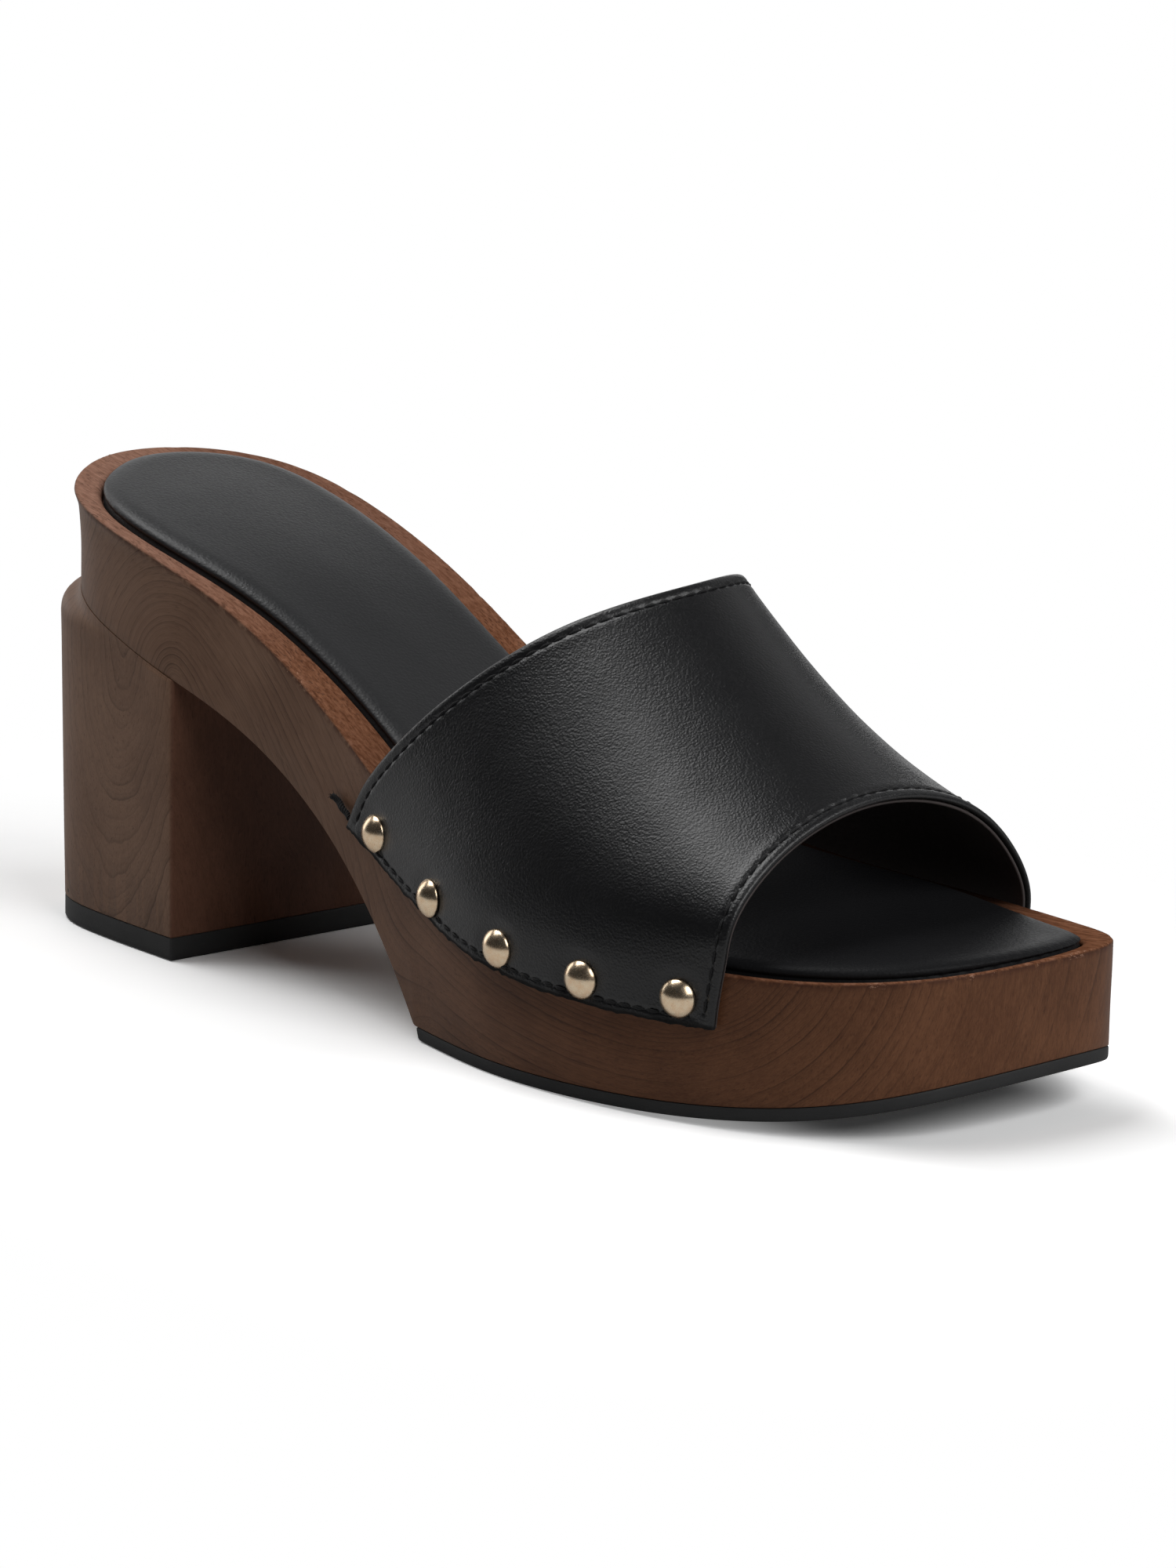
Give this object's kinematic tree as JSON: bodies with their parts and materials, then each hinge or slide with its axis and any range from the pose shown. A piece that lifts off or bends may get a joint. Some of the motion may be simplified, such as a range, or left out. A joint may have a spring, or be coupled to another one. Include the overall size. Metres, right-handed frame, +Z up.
{
  "type": "heeled platform clog",
  "caption": "Open-toed heeled platform clog, right foot: wooden sole and block heel, leather band held by dome studs, cushioned insole, rubber treads.",
  "frame": {"origin": "centre of the heel tip's tread face, on the ground", "axes": "+X from heel to toe, +Y towards the inner side of the foot, +Z up"},
  "size_m": [0.24, 0.0951, 0.0906],
  "materials": {
    "wood_sole": "stained brown wood, satin",
    "wood_heel": "stained brown wood, satin",
    "steel": "plain steel",
    "rubber": "matte black",
    "fibreboard": "pressed fibre board",
    "foam": "open-cell foam",
    "insole_leather": "smooth black leather, soft sheen",
    "upper_leather": "smooth fine-grained black leather",
    "interlining": "non-woven",
    "lining": "matte black lining",
    "thread": "black sewing thread",
    "stud_metal": "polished pale gold"
  },
  "bodies": {
    "root": {"sole_block": "wood_sole", "heel_block": "wood_heel", "heel_screws": "steel", "heel_tip": "rubber", "heel_tip_pins": "steel", "outsole": "rubber", "insole_board": "fibreboard", "insole_foam": "foam", "insole_cover": "insole_leather", "vamp_outer": "upper_leather", "vamp_interlining": "interlining", "vamp_lining": "lining", "rear_topline_stitching": "thread", "front_edge_stitching": "thread", "lateral_lasting_stitching": "thread", "medial_lasting_stitching": "thread", "lateral_studs": "stud_metal", "medial_studs": "stud_metal", "thread_tail": "thread"}
  },
  "joints": []
}
